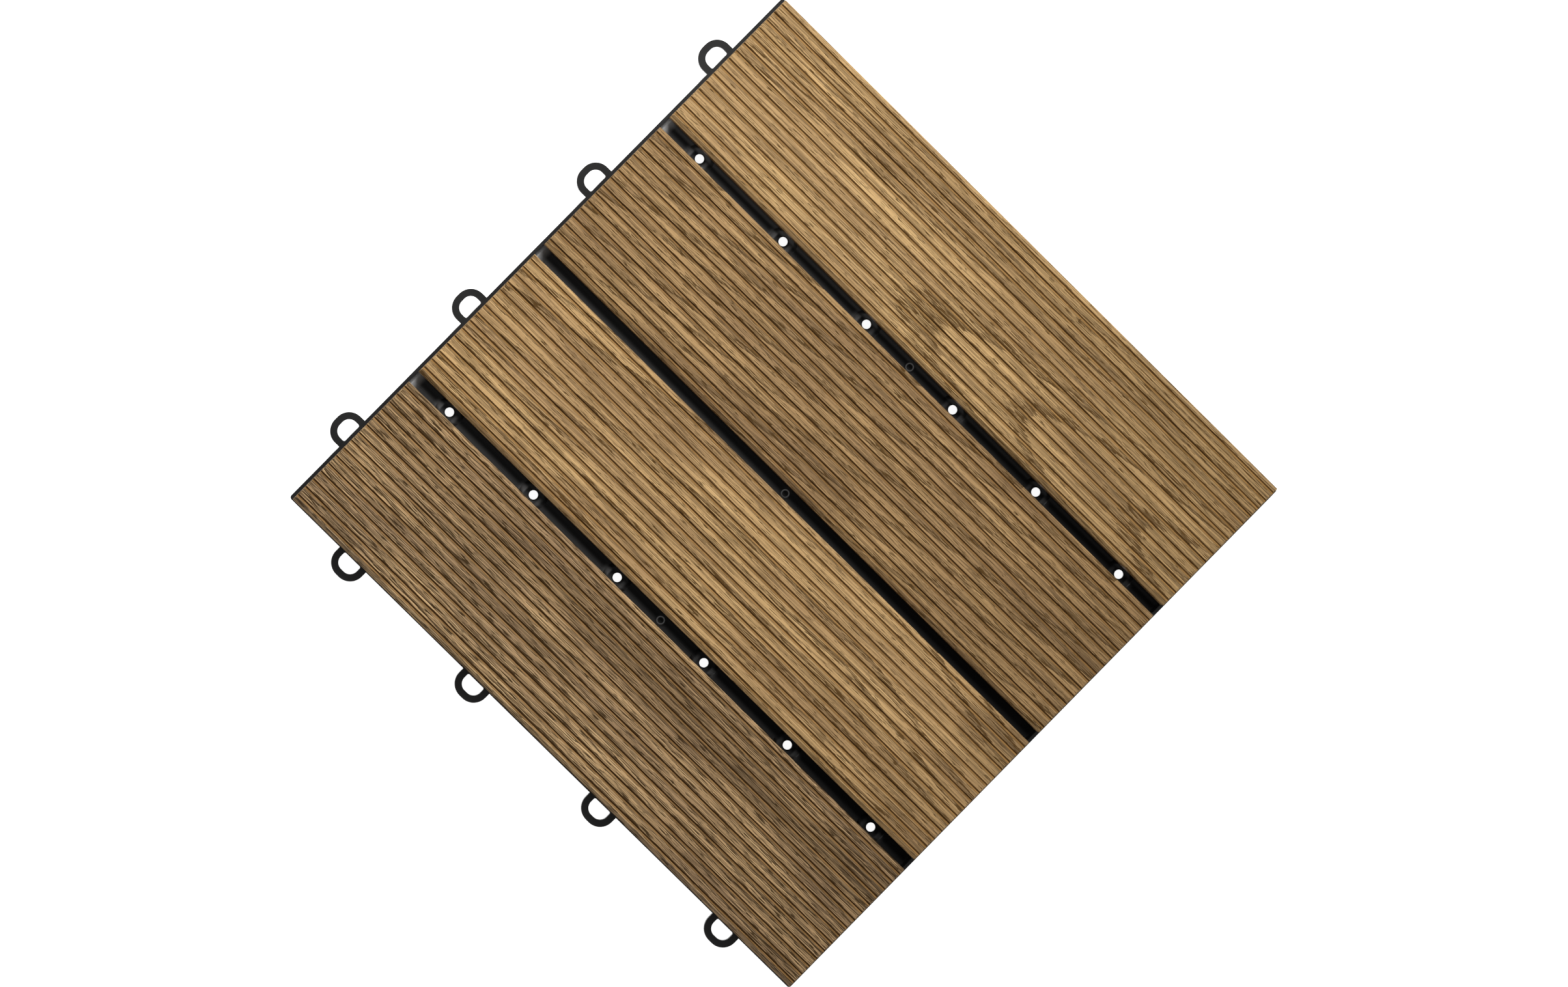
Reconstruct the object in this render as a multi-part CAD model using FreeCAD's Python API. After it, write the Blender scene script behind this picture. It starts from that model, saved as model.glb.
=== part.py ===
"""Interlocking deck tile: four grooved hardwood slats screwed to a moulded black base.

Frame: origin at the middle of the tile on the ground, X along the slats, Y across them, Z up.
Loops stand out of the -X and -Y edges. Pegs and pockets below the +X and +Y edges take the
loops of the next tile.
"""
import FreeCAD, Part
import os
from math import ceil, sqrt

from FreeCAD import Vector

# Base moulding
BASE_SIZE = 300.0          # side of the square base
CORNER_RADIUS = 1.2        # upright corners of the base
SEAT_HEIGHT = 12.0         # ground to the seats that the slats lie on
SEAT_SKIN = 2.0            # wall of the raised seats
RIM_WIDTH = 1.4            # skirt and rim round the base
SKIRT_BOTTOM = 2.5         # ground to the lower edge of the skirt and ribs
RIB_WIDTH = 1.6            # ribs below the seats
CELL_WIDTH = 30.0          # widest hollow between ribs

# Drainage channels below the gaps
CHANNEL_WIDTH = 14.0
CHANNEL_DEPTH = 3.5        # seat to channel floor
CHANNEL_SKIN = 1.8         # wall of the channel floor
CHANNEL_END_RADIUS = 3.3   # floor sweeps up to the rim at both ends
CHANNEL_WALL = 1.8         # side walls of a channel

# Drain holes, on a channel's middle line
DRAIN_DIAMETER = 4.0
DRAIN_EDGE = 23.1          # end hole to the base's edge
DRAIN_MIDDLE_PAIR = 52.2   # between the two holes next to the middle
DRAINS_PER_SIDE = 3        # holes either side of the middle

# Moulding gate marks and the sink mark over the middle foot
GATE_DIAMETER = 5.5
GATE_DEPTH = 0.7
GATE_BOSS_DIAMETER = 3.8
GATE_BOSS_DROP = 0.15      # boss top below the channel floor
SINK_DIAMETER = 6.0
SINK_DEPTH = 0.4

# Loops and the pegs that they drop over
LOOP_INSET = 38.0          # outer loops to the corner, inner loops to the middle of the side
LOOP_WIDTH = 15.6
LOOP_REACH = 9.5           # out of the base's edge
LOOP_BAND = 3.1
LOOP_TIP_FLAT = 1.6        # straight part of the outer end, between round corners
LOOP_THICKNESS = 3.5
LOOP_BOTTOM = 6.0          # ground to the underside of a loop
TILE_JOINT = 0.6           # open joint between two laid tiles
PEG_CLEARANCE = 0.35       # all round a peg in a loop
POCKET_CLEARANCE = 1.2     # all round a loop in its pocket
PEG_BOTTOM = 4.0           # ground to the tip of a peg
PEG_TIP_CHAMFER = 0.7

# Feet
FOOT_WIDTH = 8.0           # square posts

# Slats
SLAT_COUNT = 4
SLAT_THICKNESS = 12.0
SLAT_GAP = 6.0
SLAT_SIDE_INSET = 0.6      # base's edge to the side of an outer slat
SLAT_END_INSET = 1.5       # base's edge to the slat's end
SLAT_EDGE_CHAMFER = 1.7    # long top edges
SLAT_END_CHAMFER = 0.5     # short top edges
SLAT_BOTTOM_CHAMFER = 0.6
GROOVE_COUNT = 15
GROOVE_MARGIN = 2.9        # slat's side to the middle of the first groove
GROOVE_WIDTH = 1.4
GROOVE_BOTTOM = 0.7        # flat at the bottom of a groove
GROOVE_DEPTH = 0.9

# Screws, two to a slat on opposite corners
SCREW_SHANK_DIAMETER = 3.5
SCREW_GRIP = 9.0           # length in the slat
SCREW_HEAD_DIAMETER = 7.0
SCREW_HEAD_HEIGHT = 2.2
SCREW_HOLE_CLEARANCE = 0.25    # round the shank in the base
SCREW_SIDE_INSET = 14.4    # slat's side to a row of screws
SCREW_PAD_WIDTH = 10.0
SCREW_PAD_HEIGHT = 1.5

OVERRUN = 1.0              # cutters run this far past what they cut

# Worked out from the sizes above
HALF = BASE_SIZE / 2
INNER_HALF = HALF - RIM_WIDTH
SEAT_UNDERSIDE = SEAT_HEIGHT - SEAT_SKIN
CHANNEL_FLOOR = SEAT_HEIGHT - CHANNEL_DEPTH
CHANNEL_UNDERSIDE = CHANNEL_FLOOR - CHANNEL_SKIN
DRAIN_PITCH = (HALF - DRAIN_EDGE - DRAIN_MIDDLE_PAIR / 2) / (DRAINS_PER_SIDE - 1)
SLAT_PITCH = (BASE_SIZE - 2 * SLAT_SIDE_INSET + SLAT_GAP) / SLAT_COUNT
SLAT_WIDTH = SLAT_PITCH - SLAT_GAP
GROOVE_PITCH = (SLAT_WIDTH - 2 * GROOVE_MARGIN) / (GROOVE_COUNT - 1)
SLAT_LENGTH = BASE_SIZE - 2 * SLAT_END_INSET
SLAT_TOP = SEAT_HEIGHT + SLAT_THICKNESS
CHANNEL_WALL_OFFSET = (CHANNEL_WIDTH + CHANNEL_WALL) / 2
LOOP_CORNER_RADIUS = (LOOP_WIDTH - LOOP_TIP_FLAT) / 2
POCKET_WIDTH = LOOP_WIDTH + 2 * POCKET_CLEARANCE
POCKET_DEPTH = LOOP_REACH - TILE_JOINT + POCKET_CLEARANCE
POCKET_SIDE_OFFSET = (POCKET_WIDTH + RIB_WIDTH) / 2
PAD_FACE = SEAT_UNDERSIDE - SCREW_PAD_HEIGHT
SCREW_TIP = SEAT_HEIGHT + SCREW_GRIP


def slat_centres():
    """Y of each slat's middle."""
    first = -SLAT_PITCH * (SLAT_COUNT - 1) / 2
    return [first + i * SLAT_PITCH for i in range(SLAT_COUNT)]


def channel_centres():
    """Y of each gap's middle, with a channel below."""
    centres = slat_centres()
    return [(a + b) / 2 for a, b in zip(centres, centres[1:])]


def drain_positions():
    """X of the drain holes along a channel."""
    first = DRAIN_MIDDLE_PAIR / 2
    right = [first + i * DRAIN_PITCH for i in range(DRAINS_PER_SIDE)]
    return [-x for x in reversed(right)] + right


def loop_positions():
    """Middles of the loops along a side."""
    outer = HALF - LOOP_INSET
    return [-outer, -LOOP_INSET, LOOP_INSET, outer]


def even_ribs(start, end):
    """Middles of the fewest ribs that leave no hollow wider than CELL_WIDTH from start to end."""
    count = max(0, ceil((end - start - CELL_WIDTH) / (CELL_WIDTH + RIB_WIDTH)))
    cell = (end - start - count * RIB_WIDTH) / (count + 1)
    return [start + (i + 1) * cell + (i + 0.5) * RIB_WIDTH for i in range(count)]


def cross_ribs():
    """Middle and width of the ribs across the slats."""
    return [(x, RIB_WIDTH) for x in even_ribs(-INNER_HALF, INNER_HALF)]


def long_ribs():
    """Middle and width of the ribs along the slats: channel walls, sides of the outer pockets, the rest."""
    walls = []
    for y in channel_centres():
        walls += [(y - CHANNEL_WALL_OFFSET, CHANNEL_WALL), (y + CHANNEL_WALL_OFFSET, CHANNEL_WALL)]
    for y in (loop_positions()[0], loop_positions()[-1]):
        walls += [(y - POCKET_SIDE_OFFSET, RIB_WIDTH), (y + POCKET_SIDE_OFFSET, RIB_WIDTH)]
    walls.sort()
    ribs = list(walls)
    for start, end in rib_edges(walls):
        ribs += [(m, RIB_WIDTH) for m in even_ribs(start, end)]
    return sorted(ribs)


def foot_positions():
    """Five rows of five: against the skirt, below ribs and channel walls, and in the middle."""
    edge = INNER_HALF - FOOT_WIDTH / 2
    ribs = [x for x, width in cross_ribs()]
    x_rib = min(ribs, key=lambda x: abs(x - edge * 0.4))
    y_rib = channel_centres()[-1] - CHANNEL_WALL_OFFSET
    for x in (-edge, -x_rib, 0.0, x_rib, edge):
        for y in (-edge, -y_rib, 0.0, y_rib, edge):
            yield x, y


def screw_positions(slat_y):
    """The two screws of the slat whose middle is at slat_y."""
    end = drain_positions()[-1]
    row = SLAT_WIDTH / 2 - SCREW_SIDE_INSET
    return [(-end, slat_y - row), (end, slat_y + row)]


def all_screws():
    return [place for y in slat_centres() for place in screw_positions(y)]


def box(x0, x1, y0, y1, z0, z1):
    return Part.makeBox(x1 - x0, y1 - y0, z1 - z0, Vector(x0, y0, z0))


def cylinder(x, y, diameter, z0, z1):
    return Part.makeCylinder(diameter / 2, z1 - z0, Vector(x, y, z0))


def prism(points, direction):
    """A solid pushed out of a flat outline by the vector direction."""
    face = Part.Face(Part.makePolygon(points + [points[0]]))
    return face.extrude(direction)


def turned(points, x, y):
    """A solid of revolution about the upright axis at x, y from (radius, z) points."""
    outline = [Vector(x + r, y, z) for r, z in points]
    face = Part.Face(Part.makePolygon(outline + [outline[0]]))
    return face.revolve(Vector(x, y, 0), Vector(0, 0, 1), 360)


def d_outline(width, reach, radius, z, start=0.0):
    """A flat D in the frame of an edge: reach runs along -X from start, with rounded outer corners."""
    half = width / 2
    tip = start - reach
    slant = radius * (1 - sqrt(0.5))
    corners = [
        Vector(start, -half, z),
        Vector(tip + radius, -half, z),
        Vector(tip + slant, -half + slant, z),
        Vector(tip, -half + radius, z),
        Vector(tip, half - radius, z),
        Vector(tip + slant, half - slant, z),
        Vector(tip + radius, half, z),
        Vector(start, half, z),
    ]
    edges = [
        Part.makeLine(corners[0], corners[1]),
        Part.Arc(corners[1], corners[2], corners[3]).toShape(),
        Part.makeLine(corners[3], corners[4]),
        Part.Arc(corners[4], corners[5], corners[6]).toShape(),
        Part.makeLine(corners[6], corners[7]),
        Part.makeLine(corners[7], corners[0]),
    ]
    return Part.Face(Part.Wire(edges))


def d_prism(width, reach, radius, z0, z1, start=0.0):
    return d_outline(width, reach, radius, z0, start).extrude(Vector(0, 0, z1 - z0))


def on_side(shape, side, place):
    """Move a shape made at the middle of the -X edge to a place along the given side."""
    moved = shape.copy()
    if side in ("-Y", "+Y"):
        moved.rotate(Vector(0, 0, 0), Vector(0, 0, 1), 90)
    shift = {
        "-X": Vector(-HALF, place, 0),
        "+X": Vector(HALF, place, 0),
        "-Y": Vector(place, -HALF, 0),
        "+Y": Vector(place, HALF, 0),
    }[side]
    moved.translate(shift)
    return moved


def loop():
    """One loop, standing out of an edge at X = 0 towards -X."""
    top = LOOP_BOTTOM + LOOP_THICKNESS
    root = RIM_WIDTH / 2
    outer = d_prism(LOOP_WIDTH, LOOP_REACH + root, LOOP_CORNER_RADIUS, LOOP_BOTTOM, top, root)
    inner = d_prism(LOOP_WIDTH - 2 * LOOP_BAND, LOOP_REACH - LOOP_BAND, LOOP_CORNER_RADIUS - LOOP_BAND,
                    LOOP_BOTTOM - OVERRUN, top + OVERRUN)
    return outer.cut(inner)


def peg():
    """One peg below the seats at the edge X = 0, in the next tile's loop. Cut corners clear the round ones."""
    half = LOOP_WIDTH / 2 - LOOP_BAND - PEG_CLEARANCE
    near = -PEG_CLEARANCE
    far = PEG_CLEARANCE + TILE_JOINT - LOOP_REACH + LOOP_BAND
    corner = min(LOOP_CORNER_RADIUS - LOOP_BAND, near - far - 1.5 * PEG_TIP_CHAMFER)
    body = prism([
        Vector(near, -half, PEG_BOTTOM),
        Vector(far + corner, -half, PEG_BOTTOM),
        Vector(far, -half + corner, PEG_BOTTOM),
        Vector(far, half - corner, PEG_BOTTOM),
        Vector(far + corner, half, PEG_BOTTOM),
        Vector(near, half, PEG_BOTTOM),
    ], Vector(0, 0, SEAT_UNDERSIDE + SEAT_SKIN / 2 - PEG_BOTTOM))
    tip = [e for e in body.Edges if abs(e.BoundBox.ZMax - PEG_BOTTOM) < 1e-6]
    return body.makeChamfer(PEG_TIP_CHAMFER, tip)


def underside_cells():
    """Hollows between the ribs: low below the channels, high below the seats."""
    x_edges = rib_edges(cross_ribs())
    y_edges = rib_edges(long_ribs())
    low = -OVERRUN
    cells = []
    for y0, y1 in y_edges:
        middle = (y0 + y1) / 2
        channel = any(abs(middle - c) < CHANNEL_WIDTH / 2 for c in channel_centres())
        top = CHANNEL_UNDERSIDE if channel else SEAT_UNDERSIDE
        cells += [box(x0, x1, y0, y1, low, top) for x0, x1 in x_edges]
    return cells


def rib_edges(ribs):
    """The open spans between the skirt and ribs given as (middle, width)."""
    spans = []
    start = -INNER_HALF
    for middle, width in ribs:
        spans.append((start, middle - width / 2))
        start = middle + width / 2
    spans.append((start, INNER_HALF))
    return spans


def channel_cutter(y):
    """A channel's hollow, with both ends swept up to the rim."""
    r = CHANNEL_END_RADIUS
    slant = r * (1 - sqrt(0.5))
    floor = CHANNEL_FLOOR
    side = y - CHANNEL_WIDTH / 2
    end = INNER_HALF
    top = SEAT_HEIGHT + OVERRUN
    p = [
        Vector(-end, side, top),
        Vector(-end, side, floor + r),
        Vector(-end + slant, side, floor + slant),
        Vector(-end + r, side, floor),
        Vector(end - r, side, floor),
        Vector(end - slant, side, floor + slant),
        Vector(end, side, floor + r),
        Vector(end, side, top),
    ]
    edges = [
        Part.makeLine(p[0], p[1]),
        Part.Arc(p[1], p[2], p[3]).toShape(),
        Part.makeLine(p[3], p[4]),
        Part.Arc(p[4], p[5], p[6]).toShape(),
        Part.makeLine(p[6], p[7]),
        Part.makeLine(p[7], p[0]),
    ]
    return Part.Face(Part.Wire(edges)).extrude(Vector(0, CHANNEL_WIDTH, 0))


def drain_cutter(x, y):
    return cylinder(x, y, DRAIN_DIAMETER, CHANNEL_UNDERSIDE - OVERRUN, CHANNEL_FLOOR + OVERRUN)


def gate_cutter(x, y):
    """A round gate recess with a low boss in it."""
    floor = CHANNEL_FLOOR - GATE_DEPTH
    boss = CHANNEL_FLOOR - GATE_BOSS_DROP
    over = CHANNEL_FLOOR + OVERRUN
    return turned([
        (0, boss),
        (GATE_BOSS_DIAMETER / 2, boss),
        (GATE_BOSS_DIAMETER / 2, floor),
        (GATE_DIAMETER / 2, floor),
        (GATE_DIAMETER / 2, over),
        (0, over),
    ], x, y)


def sink_cutter():
    """The shallow round hollow over the middle foot."""
    half = SINK_DIAMETER / 2
    radius = (half ** 2 + SINK_DEPTH ** 2) / (2 * SINK_DEPTH)
    return Part.makeSphere(radius, Vector(0, 0, CHANNEL_FLOOR - SINK_DEPTH + radius))


def screw_block(x, y, z0, z1):
    """As wide as a screw's pad: the pad, and the room below it where no rib runs."""
    r = SCREW_PAD_WIDTH / 2
    return box(x - r, x + r, y - r, y + r, z0, z1)


def foot(x, y):
    r = FOOT_WIDTH / 2
    return box(x - r, x + r, y - r, y + r, 0, SEAT_UNDERSIDE + SEAT_SKIN / 2)


def base():
    """The whole moulding."""
    block = box(-HALF, HALF, -HALF, HALF, SKIRT_BOTTOM, SEAT_HEIGHT)
    upright = [e for e in block.Edges if e.BoundBox.ZLength > 1]
    block = block.makeFillet(CORNER_RADIUS, upright)
    shape = block.cut(Part.makeCompound(underside_cells()))

    pocket = box(-POCKET_DEPTH, OVERRUN, -POCKET_WIDTH / 2, POCKET_WIDTH / 2,
                 -OVERRUN, SEAT_UNDERSIDE)
    hollows = [on_side(pocket, "+X", p) for p in loop_positions()]
    hollows += [on_side(pocket, "+Y", p) for p in loop_positions()]
    hollows += [screw_block(x, y, -OVERRUN, PAD_FACE) for x, y in all_screws()]
    for hollow in hollows:
        shape = shape.cut(hollow)

    added = [foot(x, y) for x, y in foot_positions()]
    pad_root = SEAT_UNDERSIDE + SEAT_SKIN / 2
    added += [screw_block(x, y, PAD_FACE, pad_root) for x, y in all_screws()]
    for p in loop_positions():
        added.append(on_side(loop(), "-X", p))
        added.append(on_side(loop(), "-Y", p))
        added.append(on_side(peg(), "+X", p))
        added.append(on_side(peg(), "+Y", p))
    shape = shape.fuse(added)

    cutters = [channel_cutter(y) for y in channel_centres()]
    shape = shape.cut(Part.makeCompound(cutters))
    marks = [sink_cutter()]
    for y in (channel_centres()[0], channel_centres()[-1]):
        marks += [drain_cutter(x, y) for x in drain_positions()]
        marks.append(gate_cutter(0, y))
    hole = SCREW_SHANK_DIAMETER + 2 * SCREW_HOLE_CLEARANCE
    marks += [cylinder(x, y, hole, PAD_FACE - OVERRUN, SEAT_HEIGHT + OVERRUN) for x, y in all_screws()]
    return shape.cut(marks).removeSplitter()


def slat_section():
    """The slat's outline across the grain, about its own middle, as Y and Z."""
    half = SLAT_WIDTH / 2
    low = SEAT_HEIGHT
    points = [
        (-half + SLAT_BOTTOM_CHAMFER, low),
        (half - SLAT_BOTTOM_CHAMFER, low),
        (half, low + SLAT_BOTTOM_CHAMFER),
        (half, SLAT_TOP - SLAT_EDGE_CHAMFER),
        (half - SLAT_EDGE_CHAMFER, SLAT_TOP),
    ]
    first = GROOVE_PITCH * (GROOVE_COUNT - 1) / 2
    for i in range(GROOVE_COUNT):
        y = first - i * GROOVE_PITCH
        points += [
            (y + GROOVE_WIDTH / 2, SLAT_TOP),
            (y + GROOVE_BOTTOM / 2, SLAT_TOP - GROOVE_DEPTH),
            (y - GROOVE_BOTTOM / 2, SLAT_TOP - GROOVE_DEPTH),
            (y - GROOVE_WIDTH / 2, SLAT_TOP),
        ]
    points += [
        (-half + SLAT_EDGE_CHAMFER, SLAT_TOP),
        (-half, SLAT_TOP - SLAT_EDGE_CHAMFER),
        (-half, low + SLAT_BOTTOM_CHAMFER),
    ]
    return points


def slat_side():
    """The slat's outline along the grain, with its ends' top edges taken off, as X and Z."""
    half = SLAT_LENGTH / 2
    return [
        (-half, SEAT_HEIGHT),
        (half, SEAT_HEIGHT),
        (half, SLAT_TOP - SLAT_END_CHAMFER),
        (half - SLAT_END_CHAMFER, SLAT_TOP),
        (-half + SLAT_END_CHAMFER, SLAT_TOP),
        (-half, SLAT_TOP - SLAT_END_CHAMFER),
    ]


def slat(y):
    """One slat with its pilot holes."""
    half = SLAT_LENGTH / 2
    bar = prism([Vector(-half, y + v, z) for v, z in slat_section()], Vector(SLAT_LENGTH, 0, 0))
    wide = SLAT_WIDTH + 2 * OVERRUN
    side = prism([Vector(x, y - wide / 2, z) for x, z in slat_side()], Vector(0, wide, 0))
    shape = bar.common(side)
    pilots = [screw_shank(x, row) for x, row in screw_positions(y)]
    return shape.cut(pilots)


def screw_shank(x, y):
    """From the pad's face up into the slat."""
    return cylinder(x, y, SCREW_SHANK_DIAMETER, PAD_FACE, SCREW_TIP)


def screw(x, y):
    """Flat round head against the pad, with its shank."""
    low = PAD_FACE - SCREW_HEAD_HEIGHT
    head = cylinder(x, y, SCREW_HEAD_DIAMETER, low, PAD_FACE)
    return head.fuse(screw_shank(x, y))


def screws():
    return Part.makeCompound([screw(x, y) for x, y in all_screws()])


def main():
    os.makedirs("parts", exist_ok=True)
    base().exportStep("parts/base.step")
    for i, y in enumerate(slat_centres()):
        slat(y).exportStep(f"parts/slat_{i + 1}.step")
    screws().exportStep("parts/slat_screws.step")


main()
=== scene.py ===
"""Interlocking deck tile seen from above: grooved ash slats on a black moulded base."""
import bmesh
import bpy
import math
from mathutils import Matrix, Vector


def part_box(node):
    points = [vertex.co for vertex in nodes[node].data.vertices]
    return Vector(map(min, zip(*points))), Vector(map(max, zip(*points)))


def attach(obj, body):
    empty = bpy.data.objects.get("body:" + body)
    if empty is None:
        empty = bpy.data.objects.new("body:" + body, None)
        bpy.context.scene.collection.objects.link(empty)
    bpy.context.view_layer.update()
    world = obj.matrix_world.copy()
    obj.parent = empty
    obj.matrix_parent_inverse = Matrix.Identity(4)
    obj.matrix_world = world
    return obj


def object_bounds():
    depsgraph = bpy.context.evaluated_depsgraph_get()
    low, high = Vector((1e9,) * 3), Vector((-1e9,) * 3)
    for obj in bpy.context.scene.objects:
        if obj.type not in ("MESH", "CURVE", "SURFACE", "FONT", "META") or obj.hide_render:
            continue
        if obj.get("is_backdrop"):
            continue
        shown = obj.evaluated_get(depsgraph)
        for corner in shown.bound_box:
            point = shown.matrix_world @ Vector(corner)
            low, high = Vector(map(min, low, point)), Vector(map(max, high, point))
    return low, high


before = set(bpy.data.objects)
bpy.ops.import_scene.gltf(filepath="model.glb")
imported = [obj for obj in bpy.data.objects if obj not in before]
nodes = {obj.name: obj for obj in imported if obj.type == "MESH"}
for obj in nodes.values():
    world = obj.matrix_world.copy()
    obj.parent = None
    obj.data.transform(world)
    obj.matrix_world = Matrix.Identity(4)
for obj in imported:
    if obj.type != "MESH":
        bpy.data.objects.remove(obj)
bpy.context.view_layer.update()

# Sizes in millimetres, as in the part's source
MM_PER_M = 1000.0
HALF = 150.0                # middle of the tile to the base's edge
SLAT_TOP = 24.0             # ground to the top of the slats
GROOVE_PITCH = 4.6
CHANNEL_PITCH = 76.2        # from the middle channel to the outer ones
DRAIN_FIRST = 26.1          # middle of the tile to the nearest drain holes
DRAIN_PITCH = 50.4
DRAIN_PLACES = sorted(round(side * (DRAIN_FIRST + i * DRAIN_PITCH), 1) for side in (-1, 1) for i in range(3))
LOOP_PLACES = (-112.0, -38.0, 38.0, 112.0)
LOOP_HALF_OPENING = 4.7
LOOP_LOW, LOOP_HIGH = 6.02, 9.48    # just inside the loops' lower and upper face


class Graph:
    """Small helper to write shader nodes as expressions. Lengths are in millimetres."""

    def __init__(self, name):
        self.material = bpy.data.materials.new(name)
        self.material.use_nodes = True
        self.tree = self.material.node_tree
        self.tree.nodes.clear()
        self.output = self.tree.nodes.new("ShaderNodeOutputMaterial")
        self.shader = self.tree.nodes.new("ShaderNodeBsdfPrincipled")
        self.tree.links.new(self.shader.outputs["BSDF"], self.output.inputs["Surface"])
        place = self.tree.nodes.new("ShaderNodeTexCoord").outputs["Object"]
        scale = self.tree.nodes.new("ShaderNodeVectorMath")
        scale.operation = "SCALE"
        scale.inputs["Scale"].default_value = MM_PER_M
        self.tree.links.new(place, scale.inputs[0])
        split = self.tree.nodes.new("ShaderNodeSeparateXYZ")
        self.tree.links.new(scale.outputs[0], split.inputs[0])
        self.x, self.y, self.z = split.outputs

    def put(self, value, socket):
        """Set a number or colour on a socket, or link another node's output to it."""
        if isinstance(value, (int, float)):
            socket.default_value = value
        elif isinstance(value, tuple):
            socket.default_value = value if len(value) == len(socket.default_value) else (*value, 1.0)
        else:
            self.tree.links.new(value, socket)

    def set(self, name, value):
        self.put(value, self.shader.inputs[name])

    def math(self, operation, a, b=0.0, c=0.0):
        node = self.tree.nodes.new("ShaderNodeMath")
        node.operation = operation
        for value, socket in zip((a, b, c), node.inputs):
            self.put(value, socket)
        return node.outputs[0]

    def add(self, a, b):
        return self.math("ADD", a, b)

    def sub(self, a, b):
        return self.math("SUBTRACT", a, b)

    def mul(self, a, b):
        return self.math("MULTIPLY", a, b)

    def scaled(self, a, factor, offset):
        return self.math("MULTIPLY_ADD", a, factor, offset)

    def size(self, a):
        return self.math("ABSOLUTE", a)

    def most(self, a, b):
        return self.math("MAXIMUM", a, b)

    def radius(self, a, b):
        return self.math("SQRT", self.add(self.mul(a, a), self.mul(b, b)))

    def step(self, value, low, high, out_low=0.0, out_high=1.0):
        """Smooth step of value from low to high."""
        node = self.tree.nodes.new("ShaderNodeMapRange")
        node.interpolation_type = "SMOOTHSTEP"
        self.put(value, node.inputs["Value"])
        self.put(low, node.inputs["From Min"])
        self.put(high, node.inputs["From Max"])
        self.put(out_low, node.inputs["To Min"])
        self.put(out_high, node.inputs["To Max"])
        return node.outputs["Result"]

    def window(self, value, rise, fall, top=1.0):
        """Smooth rise over one range of value and fall over the next."""
        return self.mul(self.step(value, *rise), self.step(value, *fall, top, 0.0))

    def vector(self, x, y, z):
        node = self.tree.nodes.new("ShaderNodeCombineXYZ")
        for value, socket in zip((x, y, z), node.inputs):
            self.put(value, socket)
        return node.outputs[0]

    def noise(self, sx, sy, sz, seed=0.0, detail=2.0, roughness=0.5, y=None):
        """Noise whose features are about sx, sy and sz millimetres long."""
        place = self.vector(self.scaled(self.x, 1 / sx, seed),
                            self.scaled(self.y if y is None else y, 1 / sy, seed * 1.7),
                            self.scaled(self.z, 1 / sz, seed * 0.3))
        node = self.tree.nodes.new("ShaderNodeTexNoise")
        node.inputs["Scale"].default_value = 1.0
        node.inputs["Detail"].default_value = detail
        node.inputs["Roughness"].default_value = roughness
        self.tree.links.new(place, node.inputs["Vector"])
        return node.outputs["Fac"]

    def swing(self, *args, **options):
        """Noise about zero."""
        return self.sub(self.noise(*args, **options), 0.5)

    def mix(self, factor, a, b, blend="MIX"):
        node = self.tree.nodes.new("ShaderNodeMix")
        node.data_type = "RGBA"
        node.blend_type = blend
        self.put(factor, node.inputs["Factor"])
        self.put(a, node.inputs[6])
        self.put(b, node.inputs[7])
        return node.outputs[2]

    def curve(self, value, points):
        """Straight lines through (value, result) points."""
        low, high = points[0][0], points[-1][0]
        top = max(p[1] for p in points)
        ramp = self.tree.nodes.new("ShaderNodeValToRGB")
        ramp.color_ramp.interpolation = "LINEAR"
        stops = ramp.color_ramp.elements
        while len(stops) < len(points):
            stops.new(0.5)
        for stop, (position, result) in zip(stops, points):
            stop.position = (position - low) / (high - low)
            grey = result / top
            stop.color = (grey, grey, grey, 1.0)
        span = self.tree.nodes.new("ShaderNodeMapRange")
        self.put(value, span.inputs["Value"])
        span.inputs["From Min"].default_value = low
        span.inputs["From Max"].default_value = high
        self.tree.links.new(span.outputs["Result"], ramp.inputs["Fac"])
        return self.mul(ramp.outputs["Color"], top)

    def bump(self, height, distance):
        node = self.tree.nodes.new("ShaderNodeBump")
        node.inputs["Distance"].default_value = distance
        node.inputs["Strength"].default_value = 1.0
        self.tree.links.new(height, node.inputs["Height"])
        self.tree.links.new(node.outputs["Normal"], self.shader.inputs["Normal"])


def shaded(colour, red, green=None, blue=None):
    """A colour times one factor, or times one for each channel."""
    factors = (red, red, red) if green is None else (red, green, blue)
    return tuple(value * factor for value, factor in zip(colour, factors))


# Growth rings: each function gives a field whose level lines are the rings

def rings_slanted(slope, sink):
    """Rings nearly along the slat, at a slope to it; sink is how far they shift with depth."""
    return lambda g, x, y, depth: g.scaled(depth, sink, g.scaled(y, -1.0, g.mul(x, slope)))


def rings_tongue(g, x, y, depth):
    """Rings that close round the line y = 95.5, their tips towards -X, nearly straight far from it."""
    off = g.sub(y, 95.5)
    square = g.mul(off, off)
    field = g.sub(x, g.mul(square, g.scaled(square, 8.35e-5, 0.1485)))
    return g.scaled(depth, -25.0, field)


def rings_arch(g, x, y, depth):
    """Rings that arch over x = 42, straight at y = -60, and turn down further towards +X."""
    off = g.sub(x, 42.0)
    bend = g.mul(g.mul(off, off), 0.00105)
    bend = g.scaled(g.step(x, 62.0, 158.0), 20.0, bend)
    field = g.scaled(bend, g.scaled(y, 1 / 60, 1.0), y)
    return g.scaled(depth, 0.7, field)


def even(start, end, count):
    """Points for Graph.curve: count ring edges at even steps from start to end."""
    return [(start + (end - start) * i / (count - 1), i) for i in range(count)]


def edges(places, lead):
    """Points for Graph.curve: ring edges at places, each with its band of pores no wider than lead."""
    points = [(places[0], 0)]
    for i, place in enumerate(places[1:], 1):
        if place - points[-1][0] > 4 * lead:
            points.append((place - lead, i - 0.25))
        points.append((place, i))
    return points


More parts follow.
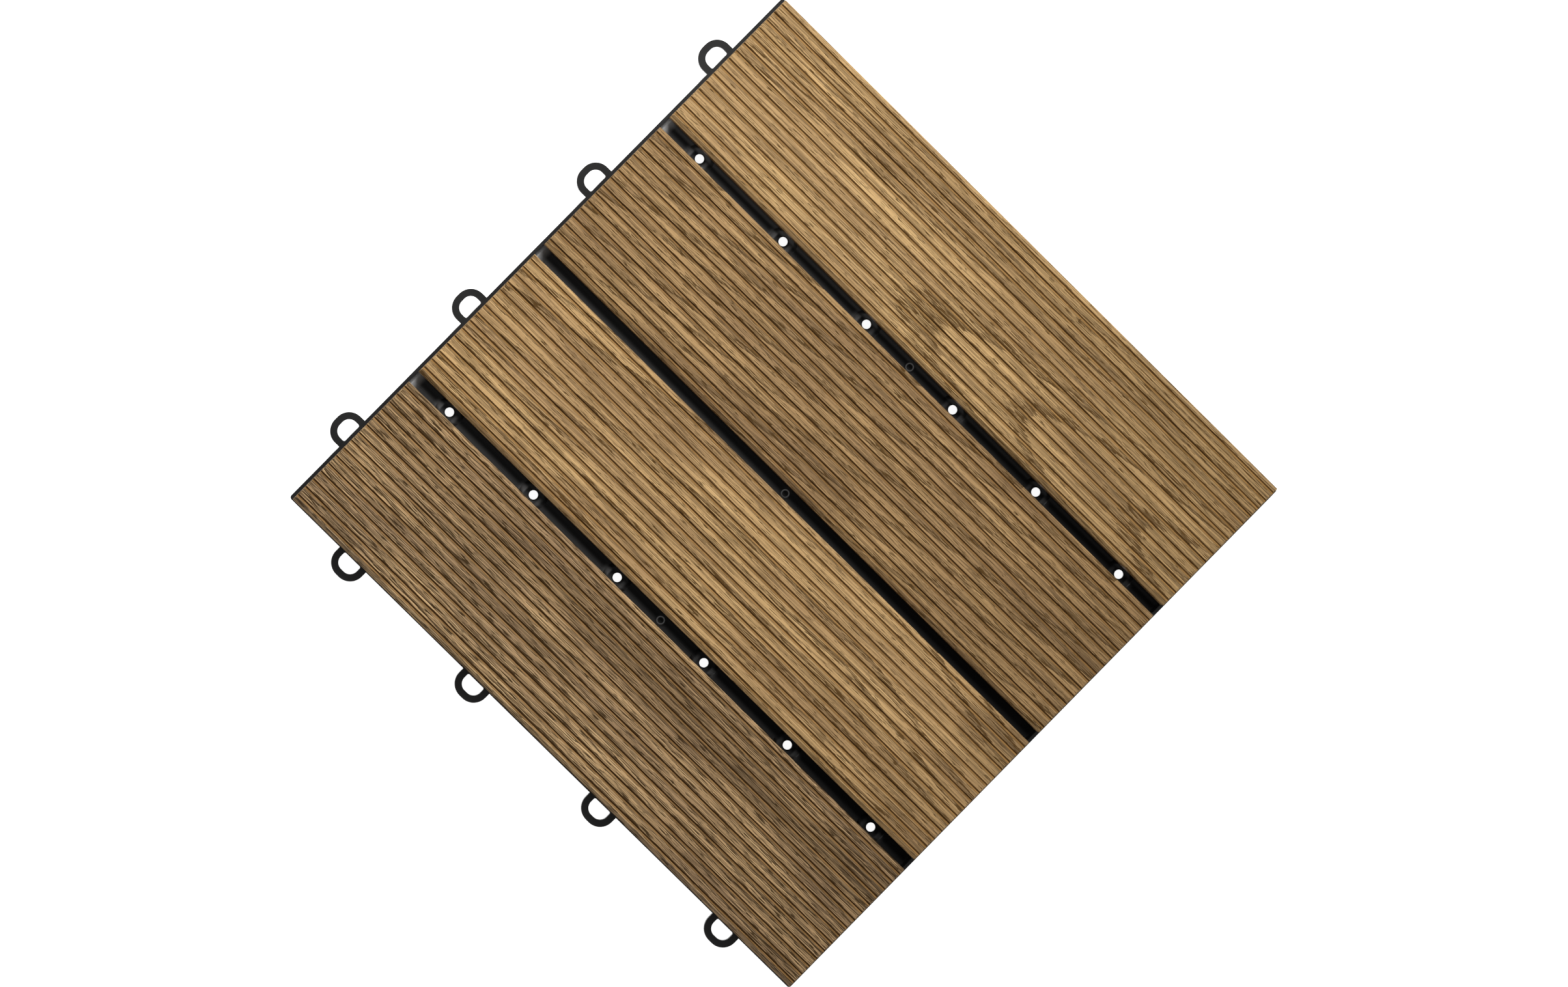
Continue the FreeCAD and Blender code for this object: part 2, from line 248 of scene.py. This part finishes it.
def hair_lines(g, y, seed):
    """Thin dark lines along the fibres, where a long drawn-out noise crosses its middle."""
    hairs = 0.0
    for i, (length, spacing, width) in enumerate(((110, 1.9, 0.020), (80, 1.2, 0.030), (45, 0.7, 0.045))):
        wave = g.swing(length, spacing, spacing, seed + 40 + i, 0.0, y=y)
        near = g.step(g.size(wave), 0.0, width * 2, 1.0, 0.0)
        broken = g.step(g.noise(42, 1.6, 1.6, seed + 50 + i, 1.0), 0.40, 0.52)
        hairs = g.most(hairs, g.mul(near, broken))
    return hairs


def paint_marks(g, lift, marks):
    """Soft ellipses that lighten or darken: x, y, half length, half width, turn, shade."""
    for x, y, long, wide, turn, shade in marks:
        dx, dy = g.sub(g.x, x), g.sub(g.y, y)
        along = g.scaled(dy, turn / long, g.mul(dx, 1 / long))
        aside = g.scaled(dx, -turn / wide, g.mul(dy, 1 / wide))
        lift = g.mul(lift, g.step(g.radius(along, aside), 0.6, 1.0, shade, 1.0))
    return lift


def paint_grooves(g, colour, middle, light, dark, band, groove, seed):
    """Grooves: painted shade on the groove floor, darker and more golden, a painted shadow in the corner
    away from the light, a thin painted shade line along the lower edge, and painted shade down the slats'
    sides.
    """
    wander = g.scaled(g.swing(6, 40, 40, seed + 60, 2.0), 0.16, g.y)
    whole_pitches = 100 * GROOVE_PITCH      # keeps the modulo's input above zero
    along = g.math("MODULO", g.add(wander, whole_pitches + GROOVE_PITCH / 2 - middle), GROOVE_PITCH)
    across = g.sub(along, GROOVE_PITCH / 2)
    top = g.step(g.z, SLAT_TOP - 1.3, SLAT_TOP - 1.1)
    # Painted shade on the groove floor
    floor_part = g.mul(g.step(g.size(across), 0.55, 0.75, 1.0, 0.0), top)
    # Painted shadow in the corner away from the light, and a thin painted shade line along the lower edge
    corner = g.window(across, (-0.04, 0.12), (0.44, 0.62))
    lower = g.window(across, (-0.86, -0.76), (-0.66, -0.54))
    colour = g.mix(g.mul(floor_part, 0.75), colour, shaded(light, 0.70, 0.60, 0.42))
    colour = g.mix(g.mul(g.mul(corner, top), g.scaled(band, 0.35, groove)), colour,
                   shaded(light, 0.15, 0.11, 0.05))
    colour = g.mix(g.mul(g.mul(lower, top), 0.45), colour, shaded(light, 0.2))
    # Painted shade down the slats' sides
    side = g.step(g.z, SLAT_TOP - 2.5, SLAT_TOP - 1.4, 1.0, 0.0)
    return g.mix(g.mul(side, 0.35), colour, shaded(dark, 0.6))


def slat_material(name, middle, rings, ring_points, light, dark, patch, pore, seed, density, fade,
                  contrast=1.0, reach=6.0, dash=6.5, groove=0.68, zone=None, marks=()):
    """Ash: growth rings, each with a band of open pores that ends at a sharp edge, and fine fibres.

    middle is the slat's middle line. density is the pores' threshold away from the bands and what the
    bands take off it; reach is how ragged the rings' tips are and dash how long a pore is. The slat
    darkens with painted shade from x = fade[0] to the +X end. zone darkens a strip: its middle line, half
    width and shade.
    groove sets how dark the painted shadow in the grooves' corners is.
    """
    g = Graph(name)
    depth = g.sub(SLAT_TOP, g.z)

    # Fibres run a little out of straight, and end early or late at a ring's edge
    drift = g.swing(75, 14, 40, seed, 1.0)
    ragged = g.swing(15, 0.55, 0.8, seed + 4, 2.0, 0.6)
    uneven = g.swing(22, 5, 9, seed + 5, 1.0)
    y_run = g.scaled(drift, 3.0, g.y)
    y_ring = g.scaled(ragged, 0.8, g.scaled(uneven, 1.2, y_run))
    x_ring = g.scaled(ragged, reach, g.x)
    phase = g.math("FRACT", g.curve(rings(g, x_ring, y_ring, depth), ring_points))

    # Pores: rare after a ring's edge, dense just before the next one, each with a painted highlight along
    # its lower edge
    edge = g.step(phase, 0.75, 0.82)
    tail = g.step(phase, 0.30, 0.82)
    body = g.noise(40, 3.5, 8, seed + 31, 1.0)
    band = g.scaled(tail, 0.25, g.mul(edge, g.step(body, 0.28, 0.52, 0.50, 0.90)))
    rim = g.mul(g.step(phase, 0.88, 0.97), g.step(body, 0.30, 0.50, 0.5, 1.0))
    threshold = g.scaled(band, -density[1], density[0])
    full = g.add(threshold, 0.03)
    pores = g.step(g.noise(dash, 0.34, 0.34, seed + 2, 1.0, y=y_run), threshold, full)
    above = g.step(g.noise(dash, 0.34, 0.34, seed + 2, 1.0, y=g.add(y_run, 0.30)), threshold, full)
    # Painted highlight on the lower edge of each pore
    painted_pore_highlight = g.mul(above, g.sub(1.0, pores))

    # Colour of the boards' large patches and of the rings
    patches = g.noise(85, 17, 30, seed + 21, 1.0)
    colour = g.mix(g.step(patches, 0.36, 0.64), dark, light)
    after = g.mul(g.step(phase, 0.0, 0.25, 1.0, 0.0), g.sub(1.0, edge))
    colour = g.mix(g.mul(after, 0.3), colour, shaded(light, 1.12))
    colour = g.mix(g.mul(band, 0.27 * contrast), colour, shaded(patch, 0.5))
    colour = g.mix(g.mul(rim, 0.48), colour, shaded(patch, 0.38, 0.33, 0.24))

    # Lighter and darker: broad streaks, fibres, fine strands, painted highlights beside the pores and the
    # planer's cross marks
    hairs = hair_lines(g, y_run, seed)
    strand = g.swing(38, 0.36, 0.36, seed + 11, 1.0, 0.6, y=y_run)
    lift = g.scaled(g.swing(90, 2.6, 5, seed + 15, 1.0, y=y_run), 0.20, 1.0)
    lift = g.scaled(g.swing(34, 0.9, 0.9, seed + 12, 1.0, 0.6, y=y_run), 0.3, lift)
    lift = g.scaled(strand, 1.05, lift)
    lift = g.scaled(painted_pore_highlight, 0.32 * contrast, lift)
    lift = g.scaled(g.swing(0.9, 30, 8, seed + 18, 1.0), 0.16, lift)
    # Painted shade: the slat gets darker towards the +X end
    lift = g.mul(lift, g.step(g.x, fade[0], HALF, 1.0, fade[1]))
    lift = g.mul(lift, g.scaled(hairs, -0.46 * min(contrast, 1.2), 1.0))
    if zone:
        line, half_width, shade = zone
        near = g.step(g.size(g.sub(y_ring, line)), half_width, 0.2 * half_width)
        amount = g.mul(near, g.step(x_ring, -110.0, 10.0, 0.35, 1.0))
        lift = g.mul(lift, g.scaled(amount, shade - 1.0, 1.0))
    lift = paint_marks(g, lift, marks)
    glare = g.most(g.sub(lift, 1.0), 0.0)       # bright wood is paler, not more orange
    lifted = g.vector(g.scaled(glare, -0.30, lift), g.scaled(glare, -0.12, lift), lift)
    colour = g.mix(1.0, colour, lifted, "MULTIPLY")
    colour = g.mix(g.mul(pores, 0.92), colour, pore)

    g.set("Base Color", paint_grooves(g, colour, middle, light, dark, band, groove, seed))
    g.set("Roughness", g.scaled(pores, 0.2, 0.5))
    g.set("Specular IOR Level", 0.09)
    relief = g.scaled(pores, -1.0, g.mul(strand, 0.6))
    g.bump(g.scaled(hairs, -0.5, relief), 0.00022)
    return g.material


def plastic_material(name, grey, roughness):
    """Black moulded plastic, a little uneven, with painted highlights in its channels' base colour and
    specular tint.
    """
    g = Graph(name)
    cloud = g.noise(22, 22, 22, 3.0, 3.0)
    grain = g.noise(0.5, 0.5, 0.5, 7.0, 2.0)
    scuff = g.swing(18, 1.2, 4, 11.0, 3.0)

    # Places: x from the nearest drain hole, y from the nearest channel, and where the channels are
    side = g.sub(g.size(g.x), DRAIN_FIRST)
    x_hole = g.sub(side, g.mul(g.math("ROUND", g.mul(side, 1 / DRAIN_PITCH)), DRAIN_PITCH))
    aside = g.sub(g.math("MODULO", g.add(g.y, 2.5 * CHANNEL_PITCH), CHANNEL_PITCH), CHANNEL_PITCH / 2)
    outer = g.step(g.size(g.y), 60.0, 62.0)
    heights = g.mul(g.step(g.z, 11.0, 10.0), g.step(g.z, 7.6, 7.9))
    lengths = g.mul(g.step(g.size(g.y), 90.0, 89.0), g.step(g.size(g.x), HALF - 1.4, HALF - 1.6))
    channel = g.mul(heights, g.mul(g.step(g.size(aside), 7.4, 6.9), lengths))

    # Painted highlights along the channels' rounded corners, strongest towards -X, beside the dishes and on
    # the gate marks
    fall = g.step(g.x, -140.0, HALF, 1.0, 0.25)
    low_side = g.step(aside, 0.4, -2.8)
    high_side = g.mul(g.step(aside, 0.8, 2.4), g.step(g.y, 60.0, 62.0, 0.10, 0.85))
    painted_glint = g.most(g.window(x_hole, (3.4, 4.4), (4.4, 8.6)),
                   g.window(x_hole, (-5.2, -3.8), (-3.4, -2.4), 0.6))
    painted_glint = g.mul(g.mul(painted_glint, outer), g.step(g.size(g.add(aside, 0.9)), 2.6, 0.6))
    gate = g.window(g.radius(g.x, aside), (1.2, 1.5), (1.7, 2.0))
    painted_sheen = g.scaled(low_side, 0.85, g.scaled(high_side, 0.60, 0.10))
    painted_sheen = g.mul(g.scaled(painted_glint, 0.9, g.scaled(gate, 2.0, painted_sheen)), fall)
    # Specular tint follows the painted highlights in the channels, and is 0.22 elsewhere
    tint = g.add(g.mul(painted_sheen, channel), g.scaled(channel, -0.22, 0.22))

    # Base colour: painted highlights in the same places, a little lighter, and a painted reflection at the
    # channels' ends towards -X
    ends = g.mul(g.step(g.x, -143.0, -146.5), g.scaled(outer, 0.09, 0.15))
    shade = g.scaled(g.mul(g.mul(painted_sheen, fall), g.scaled(painted_glint, 2.0, 1.0)), 0.05, ends)
    shade = g.mul(shade, g.scaled(cloud, 0.4, 0.8))
    plain = g.scaled(g.step(cloud, 0.3, 0.7), 0.7 * grey, grey)
    shade = g.add(g.mul(shade, channel), g.mul(plain, g.scaled(channel, -0.8, 1.0)))

    g.set("Base Color", g.vector(shade, shade, shade))
    g.set("Specular Tint", g.vector(tint, tint, tint))
    g.set("Roughness", g.scaled(channel, -0.12, g.scaled(scuff, 0.16, roughness)))
    g.set("Specular IOR Level", 0.5)
    g.bump(g.scaled(grain, 0.3, g.mul(cloud, 0.2)), 0.00006)
    return g.material


def steel_material(name):
    """Plain steel, finely brushed."""
    g = Graph(name)
    brushed = g.noise(0.3, 0.3, 3, 5.0, 2.0)
    g.set("Base Color", g.mix(brushed, (0.42, 0.41, 0.4), (0.6, 0.59, 0.57)))
    g.set("Metallic", 1.0)
    g.set("Roughness", g.scaled(brushed, 0.12, 0.28))
    return g.material


def dress(node, material):
    """Give a CAD node its material, in place of what it came with."""
    nodes[node].data.materials.clear()
    nodes[node].data.materials.append(material)


# A row of small knots across slat_1, light and dark in turn
KNOTS = tuple((-106.5 + 1.1 * ((i * 7) % 5 - 2), -87.5 - 1.55 * i, 1.3, 0.55, 0.0, (1.45, 0.45, 1.3)[i % 3])
              for i in range(13))

SLATS = {
    "slat_1": dict(
        rings=rings_slanted(-0.012, 0.5),
        ring_points=even(70, 155, 20),
        light=(0.428, 0.275, 0.134),
        dark=(0.291, 0.186, 0.097),
        patch=(0.248, 0.161, 0.087),
        pore=(0.032, 0.016, 0.003),
        seed=3.3, density=(0.575, 0.06), fade=(90, 0.84), contrast=1.4, dash=8.0, groove=1.0,
        zone=(-97.0, 13.0, 0.62),
        marks=KNOTS + (
            (-85.0, -89.0, 95.0, 15.0, 0.0, 0.92),
            (-60.0, -141.0, 120.0, 16.0, 0.0, 1.08),
        ),
    ),
    "slat_2": dict(
        rings=rings_arch,
        ring_points=edges(
            [-98, -88, -78.5, -69.2, -62.5, -53.5, -44.6, -34.4, -23.9, 6.0, 19.5, 34, 62, 90], lead=4.0),
        light=(0.462, 0.293, 0.130),
        dark=(0.345, 0.214, 0.098),
        patch=(0.293, 0.184, 0.091),
        pore=(0.075, 0.036, 0.007),
        seed=17.1, density=(0.650, 0.125), fade=(60, 0.85),
        marks=(
            (19.0, -22.6, 9.5, 0.22, 0.035, 1.5),
            (21.0, -23.2, 8.0, 0.2, 0.035, 0.55),
            (144.0, -15.0, 30.0, 13.0, 0.0, 0.74),
            (-110.0, -52.0, 70.0, 24.0, 0.0, 1.06),
        ),
    ),
    "slat_3": dict(
        rings=rings_slanted(0.135, 0.8),
        ring_points=even(-110, 40, 20),
        light=(0.363, 0.226, 0.100),
        dark=(0.264, 0.162, 0.075),
        patch=(0.252, 0.158, 0.075),
        pore=(0.066, 0.032, 0.006),
        seed=29.7, density=(0.640, 0.115), fade=(40, 0.80), groove=0.80,
    ),
    "slat_4": dict(
        rings=rings_tongue,
        ring_points=edges(
            [-1480, -1250, -1041, -859, -708, -567, -443, -340, -255, -2, 50, 121, 152, 190], lead=30.0),
        light=(0.450, 0.287, 0.126),
        dark=(0.350, 0.219, 0.098),
        patch=(0.311, 0.194, 0.092),
        pore=(0.078, 0.038, 0.008),
        seed=41.9, density=(0.655, 0.135), fade=(-10, 0.80), reach=14.0,
        zone=(138.0, 19.0, 0.82),
        marks=(
            (-95.0, 98.0, 95.0, 25.0, 0.0, 1.08),
            (112.0, 109.0, 60.0, 24.0, 0.0, 0.91),
            (-110.0, 139.0, 80.0, 13.0, 0.0, 0.94),
            (36.9, 141.0, 0.35, 1.5, 0.0, 0.4),
            (59.6, 136.7, 0.55, 0.5, 0.0, 0.35),
            (37.6, 139.9, 0.9, 0.3, 0.0, 0.5),
        ),
    ),
}

for node, settings in SLATS.items():
    low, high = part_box(node)
    middle = (low[1] + high[1]) / 2 * MM_PER_M
    dress(node, slat_material(f"ash_{node}", middle, **settings))
black_plastic = plastic_material("black_plastic", 0.0100, 0.38)
dress("base", black_plastic)
dress("slat_screws", steel_material("screw_steel"))


def moulded_piece(name, solids, closed):
    """Details of the base's moulding, in millimetres.

    Each solid is a list of rings of points that are joined in turn. Closed solids join the last ring
    to the first; the others have both ends capped.
    """
    mesh = bmesh.new()
    for solid in solids:
        rings = [[mesh.verts.new(Vector(point) / MM_PER_M) for point in ring] for ring in solid]
        following = rings[1:] + (rings[:1] if closed else [])
        for first, second in zip(rings, following):
            for i in range(len(first)):
                j = (i + 1) % len(first)
                mesh.faces.new((first[i], first[j], second[j], second[i]))
        if not closed:
            mesh.faces.new(reversed(rings[0]))
            mesh.faces.new(rings[-1])
    bmesh.ops.recalc_face_normals(mesh, faces=mesh.faces)
    data = bpy.data.meshes.new(name)
    mesh.to_mesh(data)
    mesh.free()
    piece = bpy.data.objects.new(name, data)
    bpy.context.scene.collection.objects.link(piece)
    data.materials.append(black_plastic)
    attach(piece, "root")
    return piece


# Dishes: each drain hole of the outer channels lies in a low crater on the channel floor.
# The profile is radius and height. It starts at the hole's wall and ends below the floor, which is at 8.5.
DISH_PROFILE = (
    (2.02, 8.40), (2.02, 8.51), (2.6, 8.53), (3.3, 8.62), (3.9, 8.78), (4.4, 8.88),
    (4.9, 8.90), (5.4, 8.83), (5.9, 8.68), (6.4, 8.53), (6.6, 8.40),
)
DISH_SECTIONS = 40
dishes = []
for y in (-CHANNEL_PITCH, CHANNEL_PITCH):
    for x in DRAIN_PLACES:
        angles = [2 * math.pi * i / DISH_SECTIONS for i in range(DISH_SECTIONS)]
        dishes.append([[(x + r * math.cos(a), y + r * math.sin(a), z) for r, z in DISH_PROFILE]
                       for a in angles])
craters = moulded_piece("drain_dishes", dishes, closed=True)
for face in craters.data.polygons:
    face.use_smooth = True

# Fillets in the corners between the loops' legs and the skirt
FILLET = 0.8
FILLET_STEPS = 6
SUNK = 0.1              # how far a fillet reaches into the leg and the skirt
fillets = []
for place in LOOP_PLACES:
    for side in (-1, 1):
        leg = place + side * LOOP_HALF_OPENING
        outline = [
            (SUNK - HALF, leg + side * SUNK),
            (-HALF - FILLET, leg + side * SUNK),
            (-HALF - FILLET, leg),
        ]
        for i in range(1, FILLET_STEPS):
            angle = math.pi / 2 * i / FILLET_STEPS
            outline.append((-HALF - FILLET * (1 - math.sin(angle)),
                            leg - side * FILLET * (1 - math.cos(angle))))
        outline += [(-HALF, leg - side * FILLET), (SUNK - HALF, leg - side * FILLET)]
        for flat in (outline, [(b, a) for a, b in outline]):    # the -X side, then the -Y side
            fillets.append([[(a, b, z) for a, b in flat] for z in (LOOP_LOW, LOOP_HIGH)])
moulded_piece("loop_fillets", fillets, closed=False)


def seen_directly(tree):
    """1 for rays from the camera, and for those that a shiny or clear surface sends on; 0 for the rest."""
    rays = tree.nodes.new("ShaderNodeLightPath")
    seen = rays.outputs["Is Camera Ray"]
    for kind in ("Is Glossy Ray", "Is Transmission Ray"):
        either = tree.nodes.new("ShaderNodeMath")
        either.operation = "MAXIMUM"
        tree.links.new(seen, either.inputs[0])
        tree.links.new(rays.outputs[kind], either.inputs[1])
        seen = either.outputs[0]
    return seen


# Floor: pale, white to the camera where light reaches it
bpy.ops.mesh.primitive_plane_add(size=8.0, location=(0.0, 0.0, 0.0))
floor = bpy.context.object
floor.name = "floor"
g = Graph("pale_floor")
g.tree.nodes.remove(g.shader)
paper = g.tree.nodes.new("ShaderNodeBsdfDiffuse")
speck = g.noise(400, 400, 400, 2.0)
g.tree.links.new(g.mix(speck, (0.8, 0.8, 0.8), (0.84, 0.84, 0.84)), paper.inputs["Color"])
glow = g.tree.nodes.new("ShaderNodeEmission")
g.tree.links.new(g.mul(seen_directly(g.tree), 0.94), glow.inputs["Strength"])
both = g.tree.nodes.new("ShaderNodeAddShader")
g.tree.links.new(paper.outputs[0], both.inputs[0])
g.tree.links.new(glow.outputs[0], both.inputs[1])
g.tree.links.new(both.outputs[0], g.output.inputs["Surface"])
floor.data.materials.append(g.material)
floor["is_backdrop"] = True

# World: soft light all round, white backdrop
world = bpy.data.worlds.new("studio")
bpy.context.scene.world = world
world.use_nodes = True
tree = world.node_tree
tree.nodes.clear()
out = tree.nodes.new("ShaderNodeOutputWorld")
pick = tree.nodes.new("ShaderNodeMixShader")
tree.links.new(seen_directly(tree), pick.inputs[0])
for strength, socket in ((0.36, pick.inputs[1]), (1.0, pick.inputs[2])):
    background = tree.nodes.new("ShaderNodeBackground")
    background.inputs["Color"].default_value = (1.0, 1.0, 1.0, 1.0)
    background.inputs["Strength"].default_value = strength
    tree.links.new(background.outputs[0], socket)
tree.links.new(pick.outputs[0], out.inputs["Surface"])


def softbox(name, place, size, power):
    """A square lamp at place, turned to the tile."""
    data = bpy.data.lights.new(name, "AREA")
    data.size = size
    data.energy = power
    lamp = bpy.data.objects.new(name, data)
    bpy.context.scene.collection.objects.link(lamp)
    lamp.location = place
    lamp.rotation_euler = (-Vector(place)).to_track_quat("-Z", "Y").to_euler()


softbox("key", (-0.46, 0.55, 0.86), 0.30, 13.5)
softbox("rim", (1.5, 0.1, 0.75), 0.5, 6.0)

# Camera, looking down at the tile with its slats at 45 degrees in the picture
camera_data = bpy.data.cameras.new("camera")
camera_data.sensor_width = 36.0
camera_data.lens = 160.546
camera_data.clip_end = 50.0
camera = bpy.data.objects.new("camera", camera_data)
bpy.context.scene.collection.objects.link(camera)
camera.matrix_world = Matrix((
    (0.710068, -0.701717, -0.058274, -0.175131),
    (0.700857, 0.712314, -0.037524, -0.112900),
    (0.067841, -0.014197, 0.997595, 3.000000),
    (0.0, 0.0, 0.0, 1.0),
))
bpy.context.scene.camera = camera
bpy.context.scene.view_settings.view_transform = "Standard"

low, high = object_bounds()
